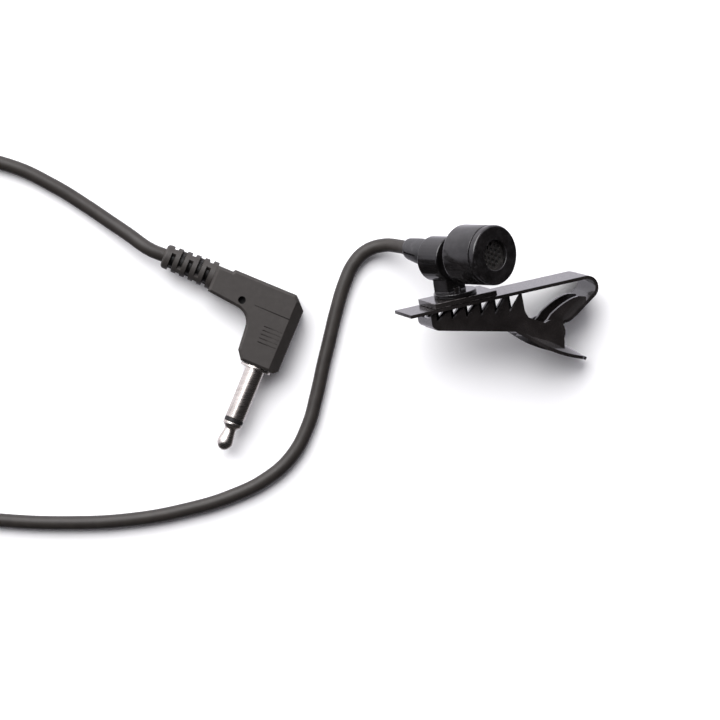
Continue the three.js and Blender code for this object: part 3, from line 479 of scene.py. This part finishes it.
# ---------- microphone ----------
front_cap = turned("front_cap_turned", [
    (FACE_X, HEAD_RADIUS, 0.45), (FACE_X, 2.65, 0.16), (FACE_X - 0.9, 2.65), (FACE_X - 0.9, 3.6),
    (FACE_X - 2.95, 3.6), (FACE_X - 2.95, 4.5), (FACE_X - 1.25, 4.5), (FACE_X - 1.25, HEAD_RADIUS, 0.1),
], microphone, 128)
stands_for(front_cap, "front_cap")

barrel = turned("barrel_turned", [
    (10.4, 4.53), (10.4, HEAD_RADIUS, 0.12), (HEAD_BACK_X, HEAD_RADIUS, 0.5),
    (HEAD_BACK_X, NECK_RADIUS, 0.12), (NECK_END_X, NECK_RADIUS, 0.12), (NECK_END_X, CORD_BORE),
    (HEAD_BACK_X + 0.7, CORD_BORE), (HEAD_BACK_X + 0.7, 4.53),
], microphone, 128)
stands_for(barrel, "barrel")

SOCKET_RADIUS = 1.88
SLIT_FROM_X = -9.78
SLIT_TO_X = -6.58
SLIT_HALF_WIDTH = 0.17
SLIT_BOTTOM = 1.65           # from the boot's axis
SLIT_TURN = 93               # round the boot, in degrees


def boot_lift(x):
    """Beyond the neck the boot is pulled up a little by its cord."""
    return BOOT_BEND * (SOCKET_END_X - x) / (SOCKET_END_X - BOOT_REAR_X)


def leaning(x, angle, radius):
    return (x, radius * math.cos(angle), radius * math.sin(angle) + max(0.0, boot_lift(x)))


def slit_cutter():
    cutter = block(Matrix.Scale(1 / MM, 4), (SLIT_FROM_X, -SLIT_HALF_WIDTH, SLIT_BOTTOM),
                   (SLIT_TO_X, SLIT_HALF_WIDTH, 4.0))
    cutter.data.transform(Matrix.Rotation(math.radians(SLIT_TURN), 4, "X"))
    for vertex in cutter.data.vertices:
        vertex.co.z += boot_lift(vertex.co.x)
    cutter.data.transform(microphone @ Matrix.Scale(MM, 4))
    return cutter


boot = turned("cord_boot_moulded", [
    (BOOT_FRONT_X, SOCKET_RADIUS), (BOOT_FRONT_X, 2.45, 0.2), (SOCKET_END_X, 2.45), (-7.43, 2.36, 0.6),
    (BOOT_REAR_X + 0.3, 1.95, 0.3), (BOOT_REAR_X, 1.75, 0.15), (BOOT_REAR_X, CORD_BORE),
    (SOCKET_END_X, CORD_BORE), (SOCKET_END_X, SOCKET_RADIUS),
], microphone, 96, leaning)
carved(boot, [slit_cutter()])
# Painted shade: the bottom of the slit is darkened to near black, standing in for the shade inside the narrow
# slit.
painted_shade = boot.data.attributes.get("recess_shade") or boot.data.attributes.new("recess_shade", "FLOAT", "POINT")
to_microphone = microphone.inverted()
for vertex, value in zip(boot.data.vertices, painted_shade.data):
    spot = (to_microphone @ vertex.co) / MM
    radius = math.hypot(spot.y, spot.z - max(0.0, boot_lift(spot.x)))
    at_bottom = abs(radius - SLIT_BOTTOM) < 0.06 and SLIT_FROM_X - 0.01 < spot.x < SLIT_TO_X + 0.01
    value.value = 1.0 if at_bottom else 0.0
softened(boot.data)
stands_for(boot, "cord_boot")

edged("grille_disc", "grille_perforated", 0.05)


def moulded_holder():
    """The ring, stem and foot in one moulding, with soft fillets and a clean bore."""
    piece = merged_copy("holder_ring", "holder_moulded")
    remesh = piece.modifiers.new("skin", "REMESH")
    remesh.mode = "VOXEL"
    remesh.voxel_size = 0.085 * MM
    remesh.use_smooth_shade = True
    smooth = piece.modifiers.new("soft", "SMOOTH")
    smooth.factor = 0.5
    smooth.iterations = 14
    baked(piece)
    ring_bore = 1.93
    bore = turned("bore", [(-9, 0), (-9, ring_bore), (4, ring_bore), (4, 0)], microphone)
    carved(piece, [bore])
    softened(piece.data, 50)
    return stands_for(piece, "holder_ring")


moulded_holder()

# ---------- clip ----------
rivet_axis = microphone @ Matrix.Rotation(-math.pi / 2, 4, "Y")  # x runs up the rivet to the microphone
rivet_base = -AXIS_HEIGHT - 0.64
rivet_top = -6.06
rivet = turned("swivel_rivet_turned", [
    (rivet_base - 0.45, 0), (rivet_base - 0.45, 1.8, 0.32), (rivet_base, 1.8, 0.05), (rivet_base, 0.95, 0.05),
    (rivet_top, 0.95, 0.1), (rivet_top, 0),
], rivet_axis, 72)
stands_for(rivet, "swivel_rivet")
edged("saddle", "saddle_plate", 0.14)
edged("spring_strip", "spring_strip_pressed", 0.14)
edged("lower_jaw", "lower_jaw_pressed", 0.14)

# ---------- plug ----------
TOP = 3.3                    # half the plug's thickness
MARK = (-6.85, -2.1, 0.7)    # the round hole: where it is, and its radius
GRIP_PITCH = 0.75
grip_lines = []
for line in range(5):
    y = -5.0 - line * GRIP_PITCH
    grip_lines.append(block(plug, (-1.4, y, TOP - 0.1), (2.2, y + 0.16, TOP + 1)))
parting_line = block(plug, (-4.3, -2.18, TOP - 0.12), (2.5, -2.02, TOP + 1))
housing = edged("plug_housing", "plug_housing_moulded", 0.22, [parting_line, *grip_lines], limit=20)
to_plug = plug.inverted()
# Painted shade: the walls and floor of the round mark hole are darkened to near black, standing in for the
# shade deep in the hole.
mark_shade = housing.data.attributes.new("recess_shade", "FLOAT", "FACE")
for face, value in zip(housing.data.polygons, mark_shade.data):
    spot = (to_plug @ face.center) / MM
    in_mark = math.hypot(spot.x - MARK[0], spot.y - MARK[1]) < MARK[2] + 0.02 and 0 < spot.z < TOP - 0.25
    value.value = 1.0 if in_mark else 0.0

RELIEF_RIBS = 5
RELIEF_LANDS = 1.4           # plain length at the two ends together
RELIEF_GROOVE = 0.8          # depth
GROOVE_SHARE = 0.5           # of the pitch
GROOVE_FULLNESS = 1.7        # above 1 the groove's bottom is flat
BRIDGE_HALF = 13             # degrees
BRIDGE_FLANK = 9
RELIEF_PITCH = (RELIEF_LENGTH - RELIEF_LANDS) / RELIEF_RIBS
relief_rear = RELIEF_FRONT_X - RELIEF_LENGTH


def groove_depth(x, angle, radius):
    """0 on the round ribs and the bridges between them, 1 at the bottom of a groove.

    Each groove has two bridges, a quarter turn on from those of the next."""
    if radius < 1.4:  # the bore
        return 0.0
    along = (x - relief_rear - 1.3) / RELIEF_PITCH
    index = math.floor(along)
    depth = 0.0
    if 0 <= index < RELIEF_RIBS:
        inside = (along - index) / GROOVE_SHARE
        if inside < 1:
            depth = min(1.0, math.sin(math.pi * inside) * GROOVE_FULLNESS)
    bridge_at = math.radians(50 + 90 * (index % 2))
    away = abs(math.atan2(math.sin(2 * (angle - bridge_at)), math.cos(2 * (angle - bridge_at)))) / 2
    bridge = 1 - eased((away - math.radians(BRIDGE_HALF)) / math.radians(BRIDGE_FLANK))
    return depth * (1 - bridge)


def relief_shape(x, angle, radius):
    return on_circle(x, angle, radius - RELIEF_GROOVE * groove_depth(x, angle, radius))


# Painted shade: the grooves darken towards their bottoms, standing in for the shade inside them.
def relief_groove_shade(x, angle, radius):
    return groove_depth(x, angle, radius) ** 2


def relief_profile():
    """A taper in many rows, with its rear end rounded over."""
    rows = 130
    rounding = 0.5
    points = [(relief_rear, CORD_BORE), (relief_rear, 1.7)]
    for i in range(rows + 1):
        x = relief_rear + 0.02 + (RELIEF_LENGTH - 0.04) * i / rows
        full = 2.2 + 0.4 * i / rows
        end = min(1.0, (x - relief_rear) / rounding)
        points.append((x, full - rounding * (1 - math.sqrt(1 - (1 - end) ** 2))))
    return points + [(RELIEF_FRONT_X, 2.55), (RELIEF_FRONT_X, CORD_BORE)]


relief = turned("strain_relief_ribbed", relief_profile(), plug, 112, relief_shape, relief_groove_shade)
stands_for(relief, "plug_strain_relief")

washer_back = PLUG_SHAFT - 0.5
washer_bore = SLEEVE_RADIUS + 0.03
washer = turned("plug_washer_turned", [
    (washer_back, washer_bore), (washer_back, 2.8, 0.12), (PLUG_SHAFT, 2.8, 0.12), (PLUG_SHAFT, washer_bore),
], shaft, 96)
stands_for(washer, "plug_washer")
sleeve_end = PLUG_SHAFT + SLEEVE_LENGTH
sleeve = turned("plug_sleeve_turned", [
    (PLUG_SHAFT - SLEEVE_TAIL, SLEEVE_BORE), (PLUG_SHAFT - SLEEVE_TAIL, SLEEVE_RADIUS),
    (sleeve_end, SLEEVE_RADIUS, 0.1), (sleeve_end, SLEEVE_BORE),
], shaft, 96)
stands_for(sleeve, "plug_sleeve")
ring_from = sleeve_end + SEAT
ring_to = ring_from + INSULATOR_RING
insulator = turned("plug_insulator_moulded", [
    (PLUG_SHAFT - SLEEVE_TAIL, ROD_BORE), (PLUG_SHAFT - SLEEVE_TAIL, 0.95), (ring_from, 0.95),
    (ring_from, SLEEVE_RADIUS, 0.08), (ring_to, SLEEVE_RADIUS, 0.08), (ring_to, ROD_BORE),
], shaft, 96)
stands_for(insulator, "plug_insulator")
tip_from = ring_to + SEAT
tip = turned("plug_tip_turned", [
    (PLUG_SHAFT - ROD_TAIL, 0), (PLUG_SHAFT - ROD_TAIL, ROD_RADIUS), (tip_from, ROD_RADIUS),
    (tip_from, SLEEVE_RADIUS, 0.1), (tip_from + 0.5, SLEEVE_RADIUS, 0.2),
    (tip_from + 1.15, TIP_NECK_RADIUS, 0.2), (tip_from + 1.6, TIP_NECK_RADIUS, 0.3),
    (tip_from + 3.6, 1.45, 0.5), (tip_from + 4.2, 1.4, 0.4), (tip_from + 4.9, 0.95, 0.35),
    (tip_from + 5.2, 0.5, 0.2), (tip_from + 5.3, 0),
], shaft, 96)
stands_for(tip, "plug_tip")
tie = edged("coil_tie", "coil_tie_strap", 0.08)

nodes = frame["nodes"]
cord_pieces = [tie, relief, washer, sleeve, insulator, tip, housing]
cord_pieces += [nodes[n] for n in ("cord_end_plug", "plug_bushing", "plug_tip_lug", "plug_sleeve_lug",
                                   "plug_signal_wire", "plug_shield_wire")]


# ---------- table and light ----------
def pale_table():
    bpy.ops.mesh.primitive_plane_add(size=6, location=(0, 0, -0.00005))
    table = bpy.context.object
    table.name = "table"
    material = bpy.data.materials.new("pale_table")
    material.use_nodes = True
    tree = material.node_tree
    shader = tree.nodes["Principled BSDF"]
    patches = scattered(tree, node(tree, "ShaderNodeTexCoord").outputs["Object"], 40)
    tree.links.new(mixed(tree, patches, (0.93, 0.93, 0.93), (0.97, 0.97, 0.97)), shader.inputs["Base Color"])
    shader.inputs["Roughness"].default_value = 0.9
    table.data.materials.append(material)
    table.visible_glossy = False


def lit():
    world = bpy.data.worlds.new("studio")
    scene.world = world
    world.use_nodes = True
    tree = world.node_tree
    way = node(tree, "ShaderNodeTexCoord").outputs["Generated"]
    split = node(tree, "ShaderNodeSeparateXYZ")
    tree.links.new(way, split.inputs[0])
    ramp = node(tree, "ShaderNodeValToRGB")
    ramp.color_ramp.elements[0].position = 0.46
    ramp.color_ramp.elements[0].color = (0.02, 0.019, 0.02, 1)
    ramp.color_ramp.elements[1].position = 0.95
    ramp.color_ramp.elements[1].color = (0.92, 0.9, 0.96, 1)
    level = ramp.color_ramp.elements.new(0.6)
    level.color = (0.58, 0.565, 0.62, 1)
    side = node(tree, "ShaderNodeMath", operation="MULTIPLY_ADD")
    side.inputs[1].default_value = -0.35
    tree.links.new(split.outputs["X"], side.inputs[0])
    tree.links.new(split.outputs["Y"], side.inputs[2])
    tree.links.new(spread(tree, side.outputs[0], 0, 1, -1, 1), ramp.inputs["Fac"])
    back = tree.nodes["Background"]
    back.inputs["Strength"].default_value = 1.6
    sheet = spread(tree, split.outputs["Z"], 0.75, 0.0, -0.72, -0.5)
    card = mixed(tree, sheet, ramp.outputs["Color"], (0.62, 0.6, 0.66))
    tree.links.new(card, back.inputs["Color"])
    window = bpy.data.lights.new("window", "AREA")
    window.size = 1.3
    window.energy = 28
    light = linked("window", window)
    light.location = (-0.4, 0.75, 0.85)
    light.rotation_euler = (-light.location).to_track_quat("-Z", "Y").to_euler()


pale_table()
lit()
scene.view_settings.view_transform = "Standard"
